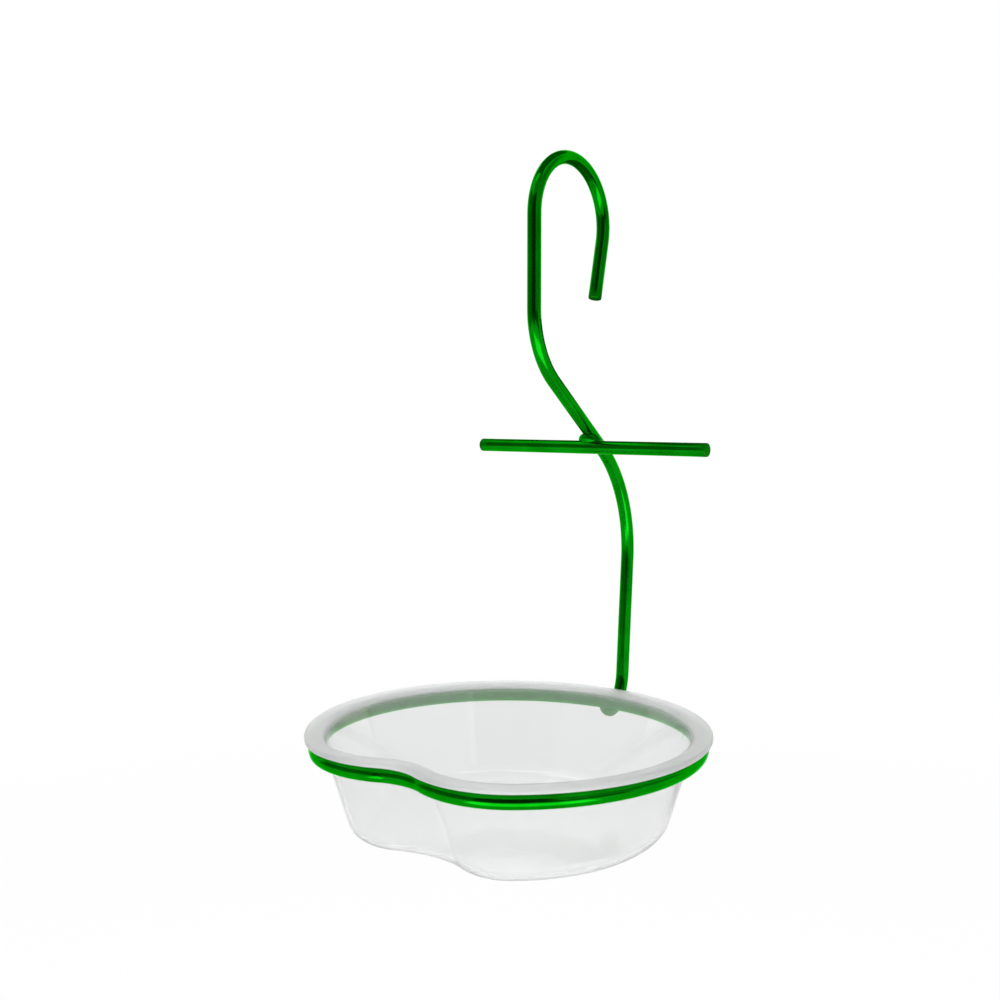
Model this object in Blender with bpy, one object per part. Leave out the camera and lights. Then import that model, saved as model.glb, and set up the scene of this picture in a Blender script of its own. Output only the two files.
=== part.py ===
"""Hanging bird feeder: a clear lobed cup in a wire ring, on a bent wire hanger with a cross skewer.

Units are metres and +Z is up. The hanger lies in the plane X = 0, and the ring, the cup and the skewer
are symmetric about it. The pieces are laid out from the cup's centre on its flange's top plane, and the
frame empty then brings the place where the hook bears, under the top of its arch, to the origin.
"""

import math

import bmesh
import bpy
from mathutils import Matrix, Vector

# Wire stock, with its coat, and how its ends are cut
WIRE_DIAMETER = 0.0056
WIRE_END_CHAMFER = 0.0006

# Hanger, as a bending schedule from the ring upwards
FOOT_ANGLE = math.radians(50)
FOOT_OVERRUN = 0.0010
FOOT_LENGTH = 0.00313
FOOT_BEND_RADIUS = 0.0221
STEM_LEAN = math.radians(3.9)
STEM_LENGTH = 0.05133
LOWER_BEND_RADIUS = 0.058
SLANT_ANGLE = math.radians(37.5)
SLANT_LENGTH = 0.0460
UPPER_BEND_RADIUS = 0.036
LEG_LENGTH = 0.0365
HOOK_RADIUS = 0.0254
HOOK_TURN = math.radians(193)
HOOK_TIP_LENGTH = 0.025

# Skewer, welded under the slant this far up from the lower bend
SKEWER_LENGTH = 0.112
SKEWER_STATION = 0.0089

# Plan outline of the cup's flange: a round back, two lobes at the front and a dent between them
FLANGE_RADIUS = 0.0792
LOBE_RADIUS = 0.040
LOBE_SPACING = 0.048
DENT_RADIUS = 0.022

# Section of the cup
CUP_DEPTH = 0.0405
FLANGE_THICKNESS = 0.0024
FLANGE_OVERHANG = 0.0015
WALL_THICKNESS = 0.0016
BASE_THICKNESS = 0.0018
WALL_DRAFT = math.radians(17)
BASE_FILLET = 0.010
RIM_ROUND = 0.0035

# Ring seat: the drafted wall rests in the ring, this far under the flange
RING_DROP = 0.0005

# Clearances: cup wall to ring, wire to wire and weld bead to wire
RING_SEAT_GAP = 0.0003
WIRE_GAP = 0.0003
BEAD_GAP = 0.0003

# Weld beads: reach along each wire, and height across the joint
BEAD_REACH = 0.0047
BEAD_HALF_HEIGHT = 0.0029

# Fineness of the facets
BEND_STEP = math.radians(6)
OUTLINE_STEP = math.radians(6)
WIRE_BEVEL_STEPS = 6
ROUND_STEPS = 5
BEAD_SEGMENTS = 24
BEAD_RINGS = 16
SHARP_EDGE = math.radians(40)
CAP_MERGE = 0.000003

# Finishes as linear base colour, roughness and metallic value
GREEN_COAT = ((0.0, 0.18, 0.01, 1.0), 0.22, 0.35)
CLEAR_PLASTIC = ((0.80, 0.82, 0.82, 0.45), 0.18, 0.0)

WIRE_RADIUS = WIRE_DIAMETER / 2
RING_INSET = FLANGE_OVERHANG + WIRE_RADIUS
RING_HEIGHT = -(FLANGE_THICKNESS + RING_DROP + WIRE_RADIUS)


def clear_scene():
    for old in list(bpy.data.objects):
        bpy.data.objects.remove(old, do_unlink=True)


def make_material(name, finish):
    colour, roughness, metallic = finish
    material = bpy.data.materials.new(name)
    material.use_nodes = True
    shader = material.node_tree.nodes["Principled BSDF"]
    shader.inputs["Base Color"].default_value = colour
    shader.inputs["Roughness"].default_value = roughness
    shader.inputs["Metallic"].default_value = metallic
    shader.inputs["Alpha"].default_value = colour[3]
    return material


def add_object(name, data, material, parent):
    made = bpy.data.objects.new(name, data)
    bpy.context.scene.collection.objects.link(made)
    made.data.materials.append(material)
    made.parent = parent
    return made


def make_helper(helper):
    helper.hide_render = True
    helper.display_type = "WIRE"
    return helper


def heading_vector(angle):
    """Unit vector in the hanger's plane, its angle measured from +Y towards +Z."""
    return Vector((0, math.cos(angle), math.sin(angle)))


class WirePath:
    """Centre line of a wire that is bent in the plane X = 0, point by point."""

    def __init__(self, start, heading):
        self.points = [start.copy()]
        self.heading = heading

    def straight(self, length):
        self.points.append(self.points[-1] + length * heading_vector(self.heading))

    def bend(self, radius, turn):
        """Turns towards +Z from +Y for a positive turn, and back for a negative one."""
        side = math.copysign(math.pi / 2, turn)
        centre = self.points[-1] + radius * heading_vector(self.heading + side)
        steps = math.ceil(abs(turn) / BEND_STEP)
        for step in range(1, steps + 1):
            reached = self.heading + turn * step / steps
            self.points.append(centre - radius * heading_vector(reached + side))
        self.heading += turn


def arc(centre, radius, start, end, steps):
    """Points from the start angle up to, but not including, the end angle."""
    for step in range(steps):
        angle = start + (end - start) * step / steps
        yield (centre[0] + radius * math.cos(angle), centre[1] + radius * math.sin(angle))


def steps_for(span):
    return max(2, math.ceil(abs(span) / OUTLINE_STEP))


def lobed_outline(inset):
    """Plan of the flange's edge moved inwards by inset: tangent arcs, anticlockwise from the right lobe."""
    half_spacing = LOBE_SPACING / 2
    lobe_y = -math.sqrt((FLANGE_RADIUS - LOBE_RADIUS) ** 2 - half_spacing**2)
    dent_y = lobe_y - math.sqrt((LOBE_RADIUS + DENT_RADIUS) ** 2 - half_spacing**2)
    back_from = math.atan2(lobe_y, half_spacing)
    back_to = math.pi - back_from
    dent_from = math.atan2(lobe_y - dent_y, -half_spacing)
    dent_to = math.pi - dent_from
    lobe_span = dent_from + math.pi - back_to
    lobe_steps = steps_for(lobe_span)
    points = list(arc((0, 0), FLANGE_RADIUS - inset, back_from, back_to, steps_for(back_to - back_from)))
    lobe_radius = LOBE_RADIUS - inset
    points += arc((-half_spacing, lobe_y), lobe_radius, back_to, back_to + lobe_span, lobe_steps)
    dent_steps = steps_for(dent_from - dent_to)
    points += arc((0, dent_y), DENT_RADIUS + inset, dent_from, dent_to, dent_steps)
    points += arc((half_spacing, lobe_y), lobe_radius, back_from - lobe_span, back_from, lobe_steps)
    return points


def wire_curve(name, points, radius, cyclic):
    curve = bpy.data.curves.new(name, "CURVE")
    curve.dimensions = "3D"
    curve.twist_mode = "Z_UP" if cyclic else "MINIMUM"
    curve.bevel_depth = radius
    curve.bevel_resolution = WIRE_BEVEL_STEPS
    curve.use_fill_caps = not cyclic
    spline = curve.splines.new("POLY")
    spline.points.add(len(points) - 1)
    for target, point in zip(spline.points, points):
        target.co = (*point, 1)
    spline.use_cyclic_u = cyclic
    return curve


def chamfered_wire(name, points):
    """A wire whose two cut ends have a small chamfer."""
    first, last = points[0], points[-1]
    shoulder_first = first + WIRE_END_CHAMFER * (points[1] - first).normalized()
    shoulder_last = last + WIRE_END_CHAMFER * (points[-2] - last).normalized()
    curve = wire_curve(name, [first, shoulder_first, *points[1:-1], shoulder_last, last], WIRE_RADIUS, False)
    for end in (0, -1):
        curve.splines[0].points[end].radius = 1 - WIRE_END_CHAMFER / WIRE_RADIUS
    return curve


def hanger_path():
    """The hanger from its foot to its hook's tip, and where it meets the ring, slants and arches over."""
    ring_back = Vector((0, FLANGE_RADIUS - RING_INSET, RING_HEIGHT))
    contact = ring_back + (WIRE_DIAMETER + WIRE_GAP) * heading_vector(FOOT_ANGLE - math.pi / 2)
    path = WirePath(contact - FOOT_OVERRUN * heading_vector(FOOT_ANGLE), FOOT_ANGLE)
    path.straight(FOOT_OVERRUN + FOOT_LENGTH)
    stem_heading = math.pi / 2 - STEM_LEAN
    path.bend(FOOT_BEND_RADIUS, stem_heading - FOOT_ANGLE)
    path.straight(STEM_LENGTH)
    slant_heading = math.pi - SLANT_ANGLE
    path.bend(LOWER_BEND_RADIUS, slant_heading - stem_heading)
    slant_start = path.points[-1].copy()
    path.straight(SLANT_LENGTH)
    path.bend(UPPER_BEND_RADIUS, math.pi / 2 - slant_heading)
    path.straight(LEG_LENGTH)
    arch_top = path.points[-1] + Vector((0, HOOK_RADIUS, HOOK_RADIUS))
    path.bend(HOOK_RADIUS, -HOOK_TURN)
    path.straight(HOOK_TIP_LENGTH)
    return path.points, contact, slant_start, arch_top


def ring_points():
    return [Vector((x, y, RING_HEIGHT)) for x, y in lobed_outline(RING_INSET)]


def skewer_points(slant_start):
    """The skewer's two ends, and the point where the slant's centre line passes over it."""
    crossing = slant_start + SKEWER_STATION * heading_vector(math.pi - SLANT_ANGLE)
    centre = crossing - (WIRE_DIAMETER + WIRE_GAP) * heading_vector(math.pi / 2 - SLANT_ANGLE)
    half = Vector((SKEWER_LENGTH / 2, 0, 0))
    return [centre - half, centre + half], crossing


def wire_relief(name, points, cyclic, parent):
    """Cutter that leaves the bead's gap around a wire."""
    curve = wire_curve(name, points, WIRE_RADIUS + BEAD_GAP, cyclic)
    guide = bpy.data.objects.new(name, curve)
    mesh = bpy.data.meshes.new_from_object(guide)
    bpy.data.objects.remove(guide)
    shell = bmesh.new()
    shell.from_mesh(mesh)
    bmesh.ops.remove_doubles(shell, verts=shell.verts, dist=CAP_MERGE)
    bmesh.ops.recalc_face_normals(shell, faces=shell.faces)
    shell.to_mesh(mesh)
    shell.free()
    cutter = bpy.data.objects.new(name, mesh)
    bpy.context.scene.collection.objects.link(cutter)
    cutter.parent = parent
    return make_helper(cutter)


def weld_bead(name, centre, across, cutters, material, parent):
    """A bead in the corner between two crossing wires, one of which runs along X."""
    along = across.cross(Vector((1, 0, 0))).normalized()
    turn = Matrix((Vector((1, 0, 0)), along, across)).transposed().to_4x4()
    stretch = Matrix.Diagonal((BEAD_REACH, BEAD_REACH, BEAD_HALF_HEIGHT, 1))
    bead = bmesh.new()
    bmesh.ops.create_uvsphere(
        bead, u_segments=BEAD_SEGMENTS, v_segments=BEAD_RINGS, radius=1,
        matrix=Matrix.Translation(centre) @ turn @ stretch,
    )
    mesh = bpy.data.meshes.new(name)
    bead.to_mesh(mesh)
    bead.free()
    mesh.shade_smooth()
    made = add_object(name, mesh, material, parent)
    for cutter in cutters:
        cut = made.modifiers.new(cutter.name, "BOOLEAN")
        cut.operation = "DIFFERENCE"
        cut.solver = "EXACT"
        cut.object = cutter
    return made


def wall_line(inset_at_top, height):
    """Inset of a drafted wall at a height below the flange's top plane."""
    return inset_at_top - height * math.tan(WALL_DRAFT)


def section_arc(centre, radius, start, end):
    for step in range(ROUND_STEPS + 1):
        angle = start + (end - start) * step / ROUND_STEPS
        yield (centre[0] + radius * math.cos(angle), centre[1] + radius * math.sin(angle))


def base_round(inset_at_top, floor, radius):
    """Rounded corner from a drafted wall down to a flat floor, as (inset, height)."""
    middle = floor + radius
    centre = (wall_line(inset_at_top, middle) + radius / math.cos(WALL_DRAFT), middle)
    return list(section_arc(centre, radius, math.pi + WALL_DRAFT, 1.5 * math.pi))


def cup_section():
    """(inset, height) from the base's underside, out over the flange and down to the base's inside."""
    seat = RING_INSET + (WIRE_RADIUS + RING_SEAT_GAP) / math.cos(WALL_DRAFT)
    outer_top = seat + RING_HEIGHT * math.tan(WALL_DRAFT)
    inner_top = outer_top + WALL_THICKNESS / math.cos(WALL_DRAFT)
    edge = FLANGE_THICKNESS / 2
    rim_centre = (wall_line(inner_top, -RIM_ROUND) - RIM_ROUND / math.cos(WALL_DRAFT), -RIM_ROUND)
    section = list(reversed(base_round(outer_top, -CUP_DEPTH, BASE_FILLET)))
    section.append((wall_line(outer_top, -FLANGE_THICKNESS), -FLANGE_THICKNESS))
    section += section_arc((edge, -edge), edge, 1.5 * math.pi, 0.5 * math.pi)
    section += section_arc(rim_centre, RIM_ROUND, 0.5 * math.pi, WALL_DRAFT)
    section += base_round(inner_top, BASE_THICKNESS - CUP_DEPTH, BASE_FILLET - WALL_THICKNESS)
    return section


def make_cup(material, parent):
    """The section carried round the outline and closed by the two faces of the base."""
    shell = bmesh.new()
    loops = [
        [shell.verts.new((x, y, height)) for x, y in lobed_outline(inset)] for inset, height in cup_section()
    ]
    for lower, upper in zip(loops, loops[1:]):
        for here in range(len(lower)):
            ahead = (here + 1) % len(lower)
            shell.faces.new((lower[here], lower[ahead], upper[ahead], upper[here]))
    shell.faces.new(loops[0])
    shell.faces.new(loops[-1])
    bmesh.ops.recalc_face_normals(shell, faces=shell.faces)
    mesh = bpy.data.meshes.new("cup")
    shell.to_mesh(mesh)
    shell.free()
    mesh.shade_smooth()
    mesh.set_sharp_from_angle(angle=SHARP_EDGE)
    return add_object("cup", mesh, material, parent)


def main():
    clear_scene()
    coat = make_material("green_coat", GREEN_COAT)
    plastic = make_material("clear_plastic", CLEAR_PLASTIC)
    hanger, foot_contact, slant_start, arch_top = hanger_path()
    skewer, slant_crossing = skewer_points(slant_start)
    ring = ring_points()

    frame = bpy.data.objects.new("frame_origin", None)
    bpy.context.scene.collection.objects.link(frame)
    frame.location = Vector((0, 0, WIRE_RADIUS)) - arch_top

    add_object("hanger_rod", chamfered_wire("hanger_rod", hanger), coat, frame)
    add_object("cup_ring", wire_curve("cup_ring", ring, WIRE_RADIUS, True), coat, frame)
    add_object("fruit_skewer", chamfered_wire("fruit_skewer", skewer), coat, frame)

    rod_relief = wire_relief("hanger_relief", hanger, False, frame)
    ring_relief = wire_relief("ring_relief", ring, True, frame)
    skewer_relief = wire_relief("skewer_relief", skewer, False, frame)
    half_pitch = (WIRE_DIAMETER + WIRE_GAP) / 2
    ring_side = heading_vector(FOOT_ANGLE + math.pi / 2)
    stem_joint = foot_contact + half_pitch * ring_side
    weld_bead("stem_weld", stem_joint, ring_side, (rod_relief, ring_relief), coat, frame)
    slant_side = heading_vector(math.pi / 2 - SLANT_ANGLE)
    skewer_joint = slant_crossing - half_pitch * slant_side
    weld_bead("skewer_weld", skewer_joint, slant_side, (rod_relief, skewer_relief), coat, frame)

    make_cup(plastic, frame)


main()
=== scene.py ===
"""Hanging bird feeder in a plain studio: smooth coated wires, weld beads and a clear moulded cup.

Lengths are metres in the part's own frame: +Z up, the hanger in the plane X = 0, and the origin where
the hook bears. The fine pieces follow the same bends and sections as the solids that they stand for.
"""

import math

import bmesh
import bpy
from mathutils import Matrix, Vector, noise


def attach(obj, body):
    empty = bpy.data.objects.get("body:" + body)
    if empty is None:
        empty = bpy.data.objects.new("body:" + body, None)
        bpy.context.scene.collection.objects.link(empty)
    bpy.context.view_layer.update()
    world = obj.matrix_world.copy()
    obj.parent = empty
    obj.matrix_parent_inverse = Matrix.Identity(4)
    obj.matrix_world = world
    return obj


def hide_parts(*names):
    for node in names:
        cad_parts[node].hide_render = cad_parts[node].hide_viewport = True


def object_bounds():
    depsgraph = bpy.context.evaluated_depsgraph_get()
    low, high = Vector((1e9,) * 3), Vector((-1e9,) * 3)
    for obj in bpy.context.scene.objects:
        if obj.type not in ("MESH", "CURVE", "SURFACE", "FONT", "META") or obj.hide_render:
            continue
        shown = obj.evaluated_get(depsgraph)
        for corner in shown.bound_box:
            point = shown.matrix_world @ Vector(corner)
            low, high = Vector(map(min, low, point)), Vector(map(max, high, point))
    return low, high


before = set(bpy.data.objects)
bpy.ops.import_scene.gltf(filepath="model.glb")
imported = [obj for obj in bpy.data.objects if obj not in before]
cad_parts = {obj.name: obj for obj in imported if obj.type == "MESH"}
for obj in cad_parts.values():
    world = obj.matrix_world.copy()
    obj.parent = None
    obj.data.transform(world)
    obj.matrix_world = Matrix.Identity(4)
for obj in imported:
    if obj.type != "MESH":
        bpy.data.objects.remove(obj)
cad_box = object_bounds()

# Wire
WIRE_RADIUS = 0.0028
WIRE_GAP = 0.0003
WIRE_SIDES = 40
END_ROUND = 0.0006
END_STEPS = 4
BEND_STEP = math.radians(1.5)
STRAIGHT_STEP = 0.006

# Hanger, as a bending schedule from the ring upwards
FOOT_ANGLE = math.radians(50)
FOOT_OVERRUN = 0.0010
FOOT_LENGTH = 0.00313
FOOT_BEND_RADIUS = 0.0221
STEM_LEAN = math.radians(3.9)
STEM_LENGTH = 0.05133
LOWER_BEND_RADIUS = 0.058
SLANT_ANGLE = math.radians(37.5)
SLANT_LENGTH = 0.0460
UPPER_BEND_RADIUS = 0.036
LEG_LENGTH = 0.0365
HOOK_RADIUS = 0.0254
HOOK_TURN = math.radians(193)
HOOK_TIP_LENGTH = 0.025
SKEWER_LENGTH = 0.112
SKEWER_STATION = 0.0089

# Cup outline and section
FLANGE_RADIUS = 0.0792
LOBE_RADIUS = 0.040
LOBE_SPACING = 0.048
DENT_RADIUS = 0.022
CUP_DEPTH = 0.0405
FLANGE_THICKNESS = 0.0024
FLANGE_OVERHANG = 0.0015
WALL_THICKNESS = 0.0016
BASE_THICKNESS = 0.0018
WALL_DRAFT = math.radians(17)
BASE_FILLET = 0.010
RIM_ROUND = 0.0035
RING_DROP = 0.0005
RING_SEAT_GAP = 0.0003
OUTLINE_STEP = math.radians(2)
ROUND_STEPS = 10

RING_INSET = FLANGE_OVERHANG + WIRE_RADIUS
RING_HEIGHT = -(FLANGE_THICKNESS + RING_DROP + WIRE_RADIUS)

# Weld beads
BEAD_REACH = 0.0050
BEAD_HALF_HEIGHT = 0.0031
BEAD_DETAIL = 4
BEAD_RIPPLE = 0.025
BEAD_RIPPLE_PITCH = 0.0011
BEAD_LUMP = 0.06
BEAD_LUMP_SCALE = 220
BEAD_WEAR = 0.5

SHARP_EDGE = math.radians(40)


def heading_vector(angle):
    """Unit vector in the hanger's plane, its angle measured from +Y towards +Z."""
    return Vector((0, math.cos(angle), math.sin(angle)))


class WirePath:
    """Centre line and tangents of a wire that is bent in the plane X = 0."""

    def __init__(self, start, heading):
        self.points = [start.copy()]
        self.tangents = [heading_vector(heading)]
        self.heading = heading

    def straight(self, length):
        steps = math.ceil(length / STRAIGHT_STEP)
        start = self.points[-1]
        for step in range(1, steps + 1):
            self.points.append(start + length * step / steps * heading_vector(self.heading))
            self.tangents.append(heading_vector(self.heading))

    def bend(self, radius, turn):
        side = math.copysign(math.pi / 2, turn)
        centre = self.points[-1] + radius * heading_vector(self.heading + side)
        steps = math.ceil(abs(turn) / BEND_STEP)
        for step in range(1, steps + 1):
            reached = self.heading + turn * step / steps
            self.points.append(centre - radius * heading_vector(reached + side))
            self.tangents.append(heading_vector(reached))
        self.heading += turn


def hanger_path():
    """The hanger from foot to tip, and the places where it meets the ring, slants and arches over."""
    ring_back = Vector((0, FLANGE_RADIUS - RING_INSET, RING_HEIGHT))
    pitch = 2 * WIRE_RADIUS + WIRE_GAP
    contact = ring_back + pitch * heading_vector(FOOT_ANGLE - math.pi / 2)
    path = WirePath(contact - FOOT_OVERRUN * heading_vector(FOOT_ANGLE), FOOT_ANGLE)
    path.straight(FOOT_OVERRUN + FOOT_LENGTH)
    stem_heading = math.pi / 2 - STEM_LEAN
    path.bend(FOOT_BEND_RADIUS, stem_heading - FOOT_ANGLE)
    path.straight(STEM_LENGTH)
    slant_heading = math.pi - SLANT_ANGLE
    path.bend(LOWER_BEND_RADIUS, slant_heading - stem_heading)
    slant_start = path.points[-1].copy()
    path.straight(SLANT_LENGTH)
    path.bend(UPPER_BEND_RADIUS, math.pi / 2 - slant_heading)
    path.straight(LEG_LENGTH)
    arch_top = path.points[-1] + Vector((0, HOOK_RADIUS, HOOK_RADIUS))
    path.bend(HOOK_RADIUS, -HOOK_TURN)
    path.straight(HOOK_TIP_LENGTH)
    return path, contact, slant_start, arch_top


def arc(centre, radius, start, end, steps):
    """Points from the start angle up to, but without, the end angle."""
    for step in range(steps):
        angle = start + (end - start) * step / steps
        yield (centre[0] + radius * math.cos(angle), centre[1] + radius * math.sin(angle))


def steps_for(span):
    return max(2, math.ceil(abs(span) / OUTLINE_STEP))


def lobed_outline(inset):
    """Plan of the flange's edge, moved in by inset: tangent arcs, anticlockwise from the right lobe."""
    half_spacing = LOBE_SPACING / 2
    lobe_y = -math.sqrt((FLANGE_RADIUS - LOBE_RADIUS) ** 2 - half_spacing**2)
    dent_y = lobe_y - math.sqrt((LOBE_RADIUS + DENT_RADIUS) ** 2 - half_spacing**2)
    back_from = math.atan2(lobe_y, half_spacing)
    back_to = math.pi - back_from
    dent_from = math.atan2(lobe_y - dent_y, -half_spacing)
    dent_to = math.pi - dent_from
    lobe_span = dent_from + math.pi - back_to
    lobe_steps = steps_for(lobe_span)
    back_steps = steps_for(back_to - back_from)
    points = list(arc((0, 0), FLANGE_RADIUS - inset, back_from, back_to, back_steps))
    lobe_radius = LOBE_RADIUS - inset
    points += arc((-half_spacing, lobe_y), lobe_radius, back_to, back_to + lobe_span, lobe_steps)
    dent_steps = steps_for(dent_from - dent_to)
    points += arc((0, dent_y), DENT_RADIUS + inset, dent_from, dent_to, dent_steps)
    points += arc((half_spacing, lobe_y), lobe_radius, back_from - lobe_span, back_from, lobe_steps)
    return points


def finish_mesh(name, shell, material, body, node):
    """Turns a bmesh into a smooth piece that rides on its body and stands for its CAD node."""
    bmesh.ops.recalc_face_normals(shell, faces=shell.faces)
    mesh = bpy.data.meshes.new(name)
    shell.to_mesh(mesh)
    shell.free()
    mesh.shade_smooth()
    mesh.set_sharp_from_angle(angle=SHARP_EDGE)
    mesh.materials.append(material)
    piece = bpy.data.objects.new(name, mesh)
    bpy.context.scene.collection.objects.link(piece)
    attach(piece, body)
    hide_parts(node)


def ring_of(shell, centre, tangent, axis, radius):
    """A circle of vertices square to the tangent, starting on the axis."""
    across = tangent.cross(axis).normalized()
    made = []
    for side in range(WIRE_SIDES):
        angle = 2 * math.pi * side / WIRE_SIDES
        outwards = math.cos(angle) * axis + math.sin(angle) * across
        made.append(shell.verts.new(centre + radius * outwards))
    return made


def wire_tube(points, tangents, axis, closed, origin):
    """Tube along a flat path, with its length and turn as UVs and rounded cut ends where it is open."""
    stations = [(point, tangent, WIRE_RADIUS, 0.0) for point, tangent in zip(points, tangents)]
    if not closed:
        first, last = stations[0], stations[-1]
        heads, tails = [], []
        for step in range(END_STEPS + 1):
            angle = math.pi / 2 * step / END_STEPS
            radius = WIRE_RADIUS - END_ROUND * (1 - math.sin(angle))
            depth = END_ROUND * (1 - math.cos(angle))
            heads.append((first[0] + depth * first[1], first[1], radius, 1.0))
            tails.append((last[0] - depth * last[1], last[1], radius, 1.0))
        stations = heads + stations[1:-1] + tails[::-1]
    shell = bmesh.new()
    uv = shell.loops.layers.uv.new("UVMap")
    wear = shell.verts.layers.float.new("wear")
    rings = []
    for point, tangent, radius, cut in stations:
        ring = ring_of(shell, point - origin, tangent, axis, radius)
        for vert in ring:
            vert[wear] = cut
        rings.append(ring)
    run = [0.0]
    for here, ahead in zip(stations, stations[1:]):
        run.append(run[-1] + (ahead[0] - here[0]).length)
    spans = list(zip(range(len(rings)), range(1, len(rings))))
    if closed:
        spans.append((len(rings) - 1, 0))
    for lower, upper in spans:
        top = run[upper] if upper else run[-1] + (stations[0][0] - stations[-1][0]).length
        for side in range(WIRE_SIDES):
            ahead = (side + 1) % WIRE_SIDES
            low, high = rings[lower], rings[upper]
            face = shell.faces.new((low[side], low[ahead], high[ahead], high[side]))
            turns = (side / WIRE_SIDES, (side + 1) / WIRE_SIDES)
            for loop, place in zip(face.loops, ((run[lower], 0), (run[lower], 1), (top, 1), (top, 0))):
                loop[uv].uv = (place[0], turns[place[1]])
    if not closed:
        for ring in (rings[0], rings[-1]):
            shell.faces.new(ring)
    return shell


def weld_bead(centre, across):
    """A lumpy bead in the corner between two crossing wires, one of which runs along X."""
    along = across.cross(Vector((1, 0, 0))).normalized()
    turn = Matrix((Vector((1, 0, 0)), along, across)).transposed().to_4x4()
    shell = bmesh.new()
    bmesh.ops.create_icosphere(shell, subdivisions=BEAD_DETAIL, radius=1)
    wear = shell.verts.layers.float.new("wear")
    shell.loops.layers.uv.new("UVMap")
    for vert in shell.verts:
        vert[wear] = BEAD_WEAR
        place = Vector((vert.co.x * BEAD_REACH, vert.co.y * BEAD_REACH, vert.co.z * BEAD_HALF_HEIGHT))
        ripple = BEAD_RIPPLE * math.sin(2 * math.pi * place.x / BEAD_RIPPLE_PITCH) * (1 - vert.co.x**2)
        lump = BEAD_LUMP * noise.noise((centre + place) * BEAD_LUMP_SCALE)
        vert.co = place * (1 + ripple + lump)
    shell.transform(Matrix.Translation(centre) @ turn)
    return shell


def wall_line(inset_at_top, height):
    """Inset of a drafted wall at a height below the flange's top plane."""
    return inset_at_top - height * math.tan(WALL_DRAFT)


def section_arc(centre, radius, start, end):
    for step in range(ROUND_STEPS + 1):
        angle = start + (end - start) * step / ROUND_STEPS
        yield (centre[0] + radius * math.cos(angle), centre[1] + radius * math.sin(angle))


def base_round(inset_at_top, floor, radius):
    """Rounded corner from a drafted wall down to a flat floor, as (inset, height)."""
    middle = floor + radius
    centre = (wall_line(inset_at_top, middle) + radius / math.cos(WALL_DRAFT), middle)
    return list(section_arc(centre, radius, math.pi + WALL_DRAFT, 1.5 * math.pi))


def cup_section():
    """(inset, height) from the base's underside, out over the flange and down to the base's inside."""
    seat = RING_INSET + (WIRE_RADIUS + RING_SEAT_GAP) / math.cos(WALL_DRAFT)
    outer_top = seat + RING_HEIGHT * math.tan(WALL_DRAFT)
    inner_top = outer_top + WALL_THICKNESS / math.cos(WALL_DRAFT)
    edge = FLANGE_THICKNESS / 2
    rim_centre = (wall_line(inner_top, -RIM_ROUND) - RIM_ROUND / math.cos(WALL_DRAFT), -RIM_ROUND)
    section = list(reversed(base_round(outer_top, -CUP_DEPTH, BASE_FILLET)))
    section.append((wall_line(outer_top, -FLANGE_THICKNESS), -FLANGE_THICKNESS))
    section += section_arc((edge, -edge), edge, 1.5 * math.pi, 0.5 * math.pi)
    section += section_arc(rim_centre, RIM_ROUND, 0.5 * math.pi, WALL_DRAFT)
    section += base_round(inner_top, BASE_THICKNESS - CUP_DEPTH, BASE_FILLET - WALL_THICKNESS)
    return section


def cup_shell(origin):
    """The section carried round the outline and closed by the two faces of the base."""
    shell = bmesh.new()
    loops = [
        [shell.verts.new(Vector((x, y, height)) - origin) for x, y in lobed_outline(inset)]
        for inset, height in cup_section()
    ]
    for lower, upper in zip(loops, loops[1:]):
        for here in range(len(lower)):
            ahead = (here + 1) % len(lower)
            shell.faces.new((lower[here], lower[ahead], upper[ahead], upper[here]))
    shell.faces.new(loops[0])
    shell.faces.new(loops[-1])
    return shell


# Green coat; a noise is its scale, detail and roughness, and a range is its ends
COAT_DEEP = (0.001, 0.205, 0.002, 1.0)
COAT_LIGHT = (0.002, 0.295, 0.005, 1.0)
COAT_GLANCING = (0.3, 1.0, 0.35, 1.0)
BARE_STEEL = (0.07, 0.06, 0.035, 1.0)
BARE_SHARE = 0.6
COAT_ROUGHNESS = (0.11, 0.20)
WEAR_ROUGHNESS = 0.45
DRAWN_STRETCH = (6.0, 26.0, 1.0)
DRAWN_NOISE = (9.0, 5.0, 0.6)
DRAWN_RANGE = (0.25, 0.75)
DRAWN_DEPTH = 0.35
CLOUD_NOISE = (90.0, 3.0, 0.5)
CLOUD_RANGE = (0.3, 0.7)
CHIP_NOISE = (900.0, 3.0, 0.5)
CHIP_RANGE = (0.50, 0.70)
PEBBLE_NOISE = (1400.0, 2.0, 0.5)
COAT_BUMP = {"Strength": 0.05, "Distance": 0.0002}

# Clear plastic
PLASTIC_HAZY = (0.95, 0.955, 0.955, 1.0)
PLASTIC_CLEAR = (0.98, 0.985, 0.985, 1.0)
PLASTIC_RIM = (0.97, 0.975, 0.975, 1.0)
PLASTIC_ROUGHNESS = (0.015, 0.05)
PLASTIC_TRANSMISSION = (0.84, 0.70)
PLASTIC_IOR = 1.47
PLASTIC_DEPTH = {"Color": (0.50, 0.52, 0.52, 1.0), "Density": 42.0}
PLASTIC_BUMP = {"Strength": 0.06, "Distance": 0.0010}
RIM_MATT = (-0.0040, -0.0022)
RIM_ROUGHNESS = 0.34
FLOW_NOISE = (38.0, 2.0, 0.5)
HAZE_NOISE = (160.0, 4.0, 0.6)
RUB_TURN = (0.3, 0.5, 0.8)
RUB_STRETCH = (900.0, 60.0, 900.0)
RUB_NOISE = (1.0, 3.0, 0.5)
RUB_SHARE = 0.35
WORN_RANGE = (0.4, 0.95)

# Colour sockets of the mix node
MIX_FIRST, MIX_SECOND, MIX_RESULT = 6, 7, 2

WHITE = (1.0, 1.0, 1.0, 1.0)


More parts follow.
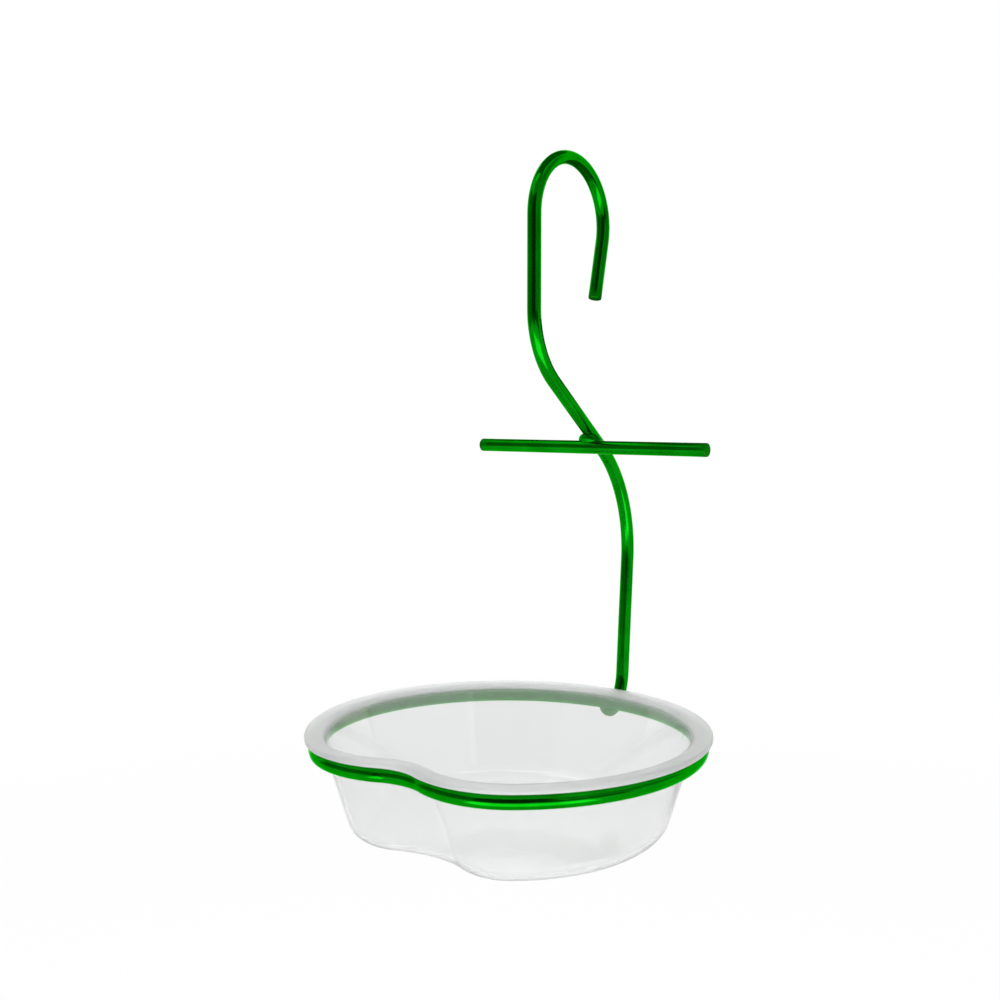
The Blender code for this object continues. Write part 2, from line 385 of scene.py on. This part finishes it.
class Nodes:
    """Short hand for building a node tree."""

    def __init__(self, tree):
        self.tree = tree

    def add(self, kind, inputs=(), **settings):
        node = self.tree.nodes.new(kind)
        for key, value in settings.items():
            setattr(node, key, value)
        for key, value in dict(inputs).items():
            self.put(node.inputs[key], value)
        return node

    def put(self, socket, value):
        if isinstance(value, bpy.types.NodeSocket):
            self.tree.links.new(value, socket)
        else:
            socket.default_value = value


def new_material(name):
    material = bpy.data.materials.new(name)
    material.use_nodes = True
    shader = material.node_tree.nodes["Principled BSDF"]
    return material, Nodes(material.node_tree), shader


def noise_value(nodes, vector, scale, detail, roughness):
    made = nodes.add(
        "ShaderNodeTexNoise",
        {"Vector": vector, "Scale": scale, "Detail": detail, "Roughness": roughness},
    )
    return made.outputs["Fac"]


def multiply_add(nodes, value, factor, added):
    made = nodes.add("ShaderNodeMath", {0: value, 1: factor, 2: added}, operation="MULTIPLY_ADD")
    return made.outputs["Value"]


def ramp(nodes, value, low, high, to_low, to_high):
    made = nodes.add(
        "ShaderNodeMapRange",
        {"Value": value, "From Min": low, "From Max": high, "To Min": to_low, "To Max": to_high},
    )
    return made.outputs["Result"]


def mix_colour(nodes, factor, first, second):
    made = nodes.add("ShaderNodeMix", data_type="RGBA")
    nodes.put(made.inputs["Factor"], factor)
    nodes.put(made.inputs[MIX_FIRST], first)
    nodes.put(made.inputs[MIX_SECOND], second)
    return made.outputs[MIX_RESULT]


def green_coat():
    """Glossy baked-on green over drawn wire: drawing lines, fine pebbling, dull welds, bare cut ends."""
    material, nodes, shader = new_material("green_coat")
    place = nodes.add("ShaderNodeTexCoord")
    stretch = nodes.add("ShaderNodeMapping", {"Vector": place.outputs["UV"], "Scale": DRAWN_STRETCH})
    lines = noise_value(nodes, stretch.outputs["Vector"], *DRAWN_NOISE)
    cloud = noise_value(nodes, place.outputs["Object"], *CLOUD_NOISE)
    pebbles = noise_value(nodes, place.outputs["Object"], *PEBBLE_NOISE)
    chips = noise_value(nodes, place.outputs["Object"], *CHIP_NOISE)
    coat = mix_colour(nodes, ramp(nodes, cloud, *CLOUD_RANGE, 0.0, 1.0), COAT_DEEP, COAT_LIGHT)
    wear = nodes.add("ShaderNodeAttribute", attribute_name="wear").outputs["Fac"]
    broken = nodes.add("ShaderNodeMath", {0: wear, 1: chips}, operation="MULTIPLY").outputs["Value"]
    bare = ramp(nodes, broken, *CHIP_RANGE, 0.0, BARE_SHARE)
    nodes.put(shader.inputs["Base Color"], mix_colour(nodes, bare, coat, BARE_STEEL))
    drawn = ramp(nodes, lines, *DRAWN_RANGE, *COAT_ROUGHNESS)
    nodes.put(shader.inputs["Roughness"], multiply_add(nodes, wear, WEAR_ROUGHNESS, drawn))
    nodes.put(shader.inputs["Metallic"], 1.0)
    nodes.put(shader.inputs["Specular Tint"], COAT_GLANCING)
    height = multiply_add(nodes, lines, DRAWN_DEPTH, pebbles)
    bump = nodes.add("ShaderNodeBump", {**COAT_BUMP, "Height": height})
    nodes.put(shader.inputs["Normal"], bump.outputs["Normal"])
    return material


def clear_plastic(rim_top):
    """Clear moulded plastic: flow ripples, a fine haze, light rubbing and a matt, milkier rim."""
    material, nodes, shader = new_material("clear_plastic")
    place = nodes.add("ShaderNodeTexCoord").outputs["Object"]
    flow = noise_value(nodes, place, *FLOW_NOISE)
    haze = noise_value(nodes, place, *HAZE_NOISE)
    stretch = nodes.add(
        "ShaderNodeMapping", {"Vector": place, "Rotation": RUB_TURN, "Scale": RUB_STRETCH}
    )
    rubs = noise_value(nodes, stretch.outputs["Vector"], *RUB_NOISE)
    tint = mix_colour(nodes, haze, PLASTIC_HAZY, PLASTIC_CLEAR)
    height = nodes.add("ShaderNodeSeparateXYZ", {"Vector": place}).outputs["Z"]
    rim = ramp(nodes, height, rim_top + RIM_MATT[0], rim_top + RIM_MATT[1], 0.0, 1.0)
    nodes.put(shader.inputs["Base Color"], mix_colour(nodes, rim, tint, PLASTIC_RIM))
    worn = multiply_add(nodes, rubs, RUB_SHARE, haze)
    rubbed = ramp(nodes, worn, *WORN_RANGE, *PLASTIC_ROUGHNESS)
    nodes.put(shader.inputs["Roughness"], multiply_add(nodes, rim, RIM_ROUGHNESS, rubbed))
    nodes.put(shader.inputs["Transmission Weight"], ramp(nodes, rim, 0.0, 1.0, *PLASTIC_TRANSMISSION))
    nodes.put(shader.inputs["IOR"], PLASTIC_IOR)
    bump = nodes.add("ShaderNodeBump", {**PLASTIC_BUMP, "Height": flow})
    nodes.put(shader.inputs["Normal"], bump.outputs["Normal"])
    volume = nodes.add("ShaderNodeVolumeAbsorption", PLASTIC_DEPTH)
    output = material.node_tree.nodes["Material Output"]
    nodes.put(output.inputs["Volume"], volume.outputs["Volume"])
    return material


def sees_background(nodes):
    """1 for rays that look at the background, straight or by gloss or through the plastic."""
    light_path = nodes.add("ShaderNodeLightPath").outputs
    seen = light_path["Is Camera Ray"]
    for kind in ("Is Glossy Ray", "Is Transmission Ray"):
        either = nodes.add("ShaderNodeMath", {0: seen, 1: light_path[kind]}, operation="MAXIMUM")
        seen = either.outputs["Value"]
    return seen


# Studio
FLOOR_DROP = 0.30
FLOOR_RADIUS = 30.0
FLOOR_FADE = (0.4, 1.3)
FLOOR_SIDES = 96
FLOOR_GLOW = 0.68
FLOOR_COLOUR = (0.92, 0.92, 0.92, 1.0)
AMBIENT = 0.75

# Lamps: name, place from the middle as (right, front, up), size, power, shows in gloss
LAMPS = (
    ("key", (-0.8, -0.5, 1.0), (0.5, 0.5), 3.4, False),
    ("fill", (0.9, -0.6, 0.6), (0.8, 0.8), 1.8, False),
    ("top", (0.0, -0.2, 1.1), (1.2, 1.2), 4.8, True),
    ("low_front", (0.0, 0.42, -0.32), (0.8, 0.3), 1.5, True),
)

# Upright cards round the feeder: name, bearing from the front, low and high edge, width, tone
CARD_DISTANCE = 1.0
CARDS = (
    ("card_front", math.radians(-8), -0.22, 0.78, 1.30, 0.065),
    ("card_front_low", math.radians(-17), -0.33, -0.22, 1.00, 0.30),
    ("card_left", math.radians(-76), -0.30, 0.78, 1.35, 0.28),
    ("card_right", math.radians(68), -0.02, 1.00, 1.60, 0.50),
    ("card_right_low", math.radians(45), -0.22, -0.02, 0.75, 0.08),
)

# Card high in front: place from the middle, size, tone
CARD_ABOVE = ((0.0, 0.75, 1.0), (1.4, 0.6), 0.45)

# Level cards over and behind the hook: name, place from the arch, which way it faces, width, tone
HOOK_CARDS = (
    ("card_hook", (0.0, -0.03, 0.12), -1, 0.18, 0.2),
    ("card_behind", (0.06, -0.10, -0.06), 1, 0.20, 0.2),
)

CAMERA_PLACE = (0.2763, -0.4202, -0.0975)
CAMERA_TURN = (math.radians(85.57), 0.0, math.radians(36.58))
CAMERA_LENS = 43.74
CAMERA_NEAR = 0.01


def make_world():
    world = bpy.data.worlds.new("studio")
    bpy.context.scene.world = world
    world.use_nodes = True
    nodes = Nodes(world.node_tree)
    world.node_tree.nodes.clear()
    ambient = nodes.add("ShaderNodeBackground", {"Color": WHITE, "Strength": AMBIENT})
    white = nodes.add("ShaderNodeBackground", {"Color": WHITE, "Strength": 1.0})
    chosen = nodes.add("ShaderNodeMixShader", {0: sees_background(nodes)})
    nodes.put(chosen.inputs[1], ambient.outputs["Background"])
    nodes.put(chosen.inputs[2], white.outputs["Background"])
    output = nodes.add("ShaderNodeOutputWorld")
    nodes.put(output.inputs["Surface"], chosen.outputs["Shader"])


def make_floor(low):
    """A pale floor under the hanging feeder, as white as the backdrop but for the feeder's shadow."""
    shell = bmesh.new()
    bmesh.ops.create_circle(shell, cap_ends=True, segments=FLOOR_SIDES, radius=FLOOR_RADIUS)
    mesh = bpy.data.meshes.new("floor")
    shell.to_mesh(mesh)
    shell.free()
    floor = bpy.data.objects.new("floor", mesh)
    bpy.context.scene.collection.objects.link(floor)
    floor.location = (0, 0, low - FLOOR_DROP)
    material = bpy.data.materials.new("floor")
    material.use_nodes = True
    nodes = Nodes(material.node_tree)
    material.node_tree.nodes.clear()
    matt = nodes.add("ShaderNodeBsdfDiffuse", {"Color": FLOOR_COLOUR})
    glow = nodes.add("ShaderNodeEmission", {"Color": WHITE, "Strength": 1.0})
    place = nodes.add("ShaderNodeTexCoord").outputs["Object"]
    away = nodes.add("ShaderNodeVectorMath", {0: place}, operation="LENGTH").outputs["Value"]
    fade = ramp(nodes, away, *FLOOR_FADE, FLOOR_GLOW, 1.0)
    share = nodes.add("ShaderNodeMath", {0: sees_background(nodes), 1: fade}, operation="MULTIPLY")
    mixed = nodes.add("ShaderNodeMixShader", {0: share.outputs["Value"]})
    nodes.put(mixed.inputs[1], matt.outputs["BSDF"])
    nodes.put(mixed.inputs[2], glow.outputs["Emission"])
    output = nodes.add("ShaderNodeOutputMaterial")
    nodes.put(output.inputs["Surface"], mixed.outputs["Shader"])
    mesh.materials.append(material)


def make_flag(name, place, target, size, tone):
    """A grey card that only shows in gloss, as a studio's dark side does."""
    shell = bmesh.new()
    bmesh.ops.create_grid(shell, x_segments=1, y_segments=1, size=0.5)
    mesh = bpy.data.meshes.new(name)
    shell.to_mesh(mesh)
    shell.free()
    flag = bpy.data.objects.new(name, mesh)
    bpy.context.scene.collection.objects.link(flag)
    flag.location = place
    flag.rotation_euler = (Vector(target) - Vector(place)).to_track_quat("Z", "Y").to_euler()
    flag.scale = (*size, 1)
    material = bpy.data.materials.new(name)
    material.use_nodes = True
    nodes = Nodes(material.node_tree)
    material.node_tree.nodes.clear()
    card = nodes.add("ShaderNodeEmission", {"Color": WHITE, "Strength": tone})
    output = nodes.add("ShaderNodeOutputMaterial")
    nodes.put(output.inputs["Surface"], card.outputs["Emission"])
    mesh.materials.append(material)
    flag.visible_camera = False
    flag.visible_diffuse = False
    flag.visible_shadow = False
    flag.visible_transmission = False


def make_lamp(name, place, target, size, power, in_gloss):
    data = bpy.data.lights.new(name, "AREA")
    data.shape = "RECTANGLE"
    data.size, data.size_y = size
    data.energy = power
    lamp = bpy.data.objects.new(name, data)
    bpy.context.scene.collection.objects.link(lamp)
    lamp.visible_camera = False
    lamp.visible_transmission = False
    lamp.visible_glossy = in_gloss
    lamp.location = place
    lamp.rotation_euler = (Vector(target) - Vector(place)).to_track_quat("-Z", "Y").to_euler()


def make_camera():
    data = bpy.data.cameras.new("camera")
    data.lens = CAMERA_LENS
    data.clip_start = CAMERA_NEAR
    camera = bpy.data.objects.new("camera", data)
    bpy.context.scene.collection.objects.link(camera)
    camera.location = CAMERA_PLACE
    camera.rotation_euler = CAMERA_TURN
    bpy.context.scene.camera = camera


def build_feeder():
    coat = green_coat()
    hanger, foot_contact, slant_start, arch_top = hanger_path()
    origin = arch_top - Vector((0, 0, WIRE_RADIUS))
    x_axis, z_axis = Vector((1, 0, 0)), Vector((0, 0, 1))

    shell = wire_tube(hanger.points, hanger.tangents, x_axis, False, origin)
    finish_mesh("hanger_wire", shell, coat, "wire_frame", "hanger_rod")

    outline = [Vector((x, y, RING_HEIGHT)) for x, y in lobed_outline(RING_INSET)]
    count = len(outline)
    tangents = [(outline[(here + 1) % count] - outline[here - 1]).normalized() for here in range(count)]
    shell = wire_tube(outline, tangents, z_axis, True, origin)
    finish_mesh("ring_wire", shell, coat, "wire_frame", "cup_ring")

    slant = heading_vector(math.pi - SLANT_ANGLE)
    slant_side = heading_vector(math.pi / 2 - SLANT_ANGLE)
    pitch = 2 * WIRE_RADIUS + WIRE_GAP
    crossing = slant_start + SKEWER_STATION * slant
    centre = crossing - pitch * slant_side
    steps = math.ceil(SKEWER_LENGTH / STRAIGHT_STEP)
    skewer = [centre + (step / steps - 0.5) * SKEWER_LENGTH * x_axis for step in range(steps + 1)]
    shell = wire_tube(skewer, [x_axis] * len(skewer), z_axis, False, origin)
    finish_mesh("skewer_wire", shell, coat, "wire_frame", "fruit_skewer")

    ring_side = heading_vector(FOOT_ANGLE + math.pi / 2)
    shell = weld_bead(foot_contact + pitch / 2 * ring_side - origin, ring_side)
    finish_mesh("stem_weld_bead", shell, coat, "wire_frame", "stem_weld")
    shell = weld_bead(crossing - pitch / 2 * slant_side - origin, slant_side)
    finish_mesh("skewer_weld_bead", shell, coat, "wire_frame", "skewer_weld")

    finish_mesh("seed_cup", cup_shell(origin), clear_plastic(-origin.z), "cup", "cup")


def light_studio():
    middle = (cad_box[0] + cad_box[1]) / 2
    right = Vector((math.cos(CAMERA_TURN[2]), math.sin(CAMERA_TURN[2]), 0))
    front = Vector((math.sin(CAMERA_TURN[2]), -math.cos(CAMERA_TURN[2]), 0))
    up = Vector((0, 0, 1))

    def seen_from(start, offset):
        return start + offset[0] * right + offset[1] * front + offset[2] * up

    for name, offset, size, power, in_gloss in LAMPS:
        make_lamp(name, seen_from(middle, offset), middle, size, power, in_gloss)
    for name, bearing, low, high, width, tone in CARDS:
        level = Vector((middle.x, middle.y, (low + high) / 2))
        away = math.sin(bearing) * right + math.cos(bearing) * front
        make_flag(name, level + CARD_DISTANCE * away, level, (width, high - low), tone)
    offset, size, tone = CARD_ABOVE
    make_flag("card_above", seen_from(middle, offset), middle, size, tone)
    for name, offset, facing, width, tone in HOOK_CARDS:
        place = seen_from(Vector(), offset)
        make_flag(name, place, place + facing * up, (width, width), tone)


bpy.context.scene.view_settings.view_transform = "Standard"
make_camera()
build_feeder()
make_world()
make_floor(cad_box[0].z)
light_studio()
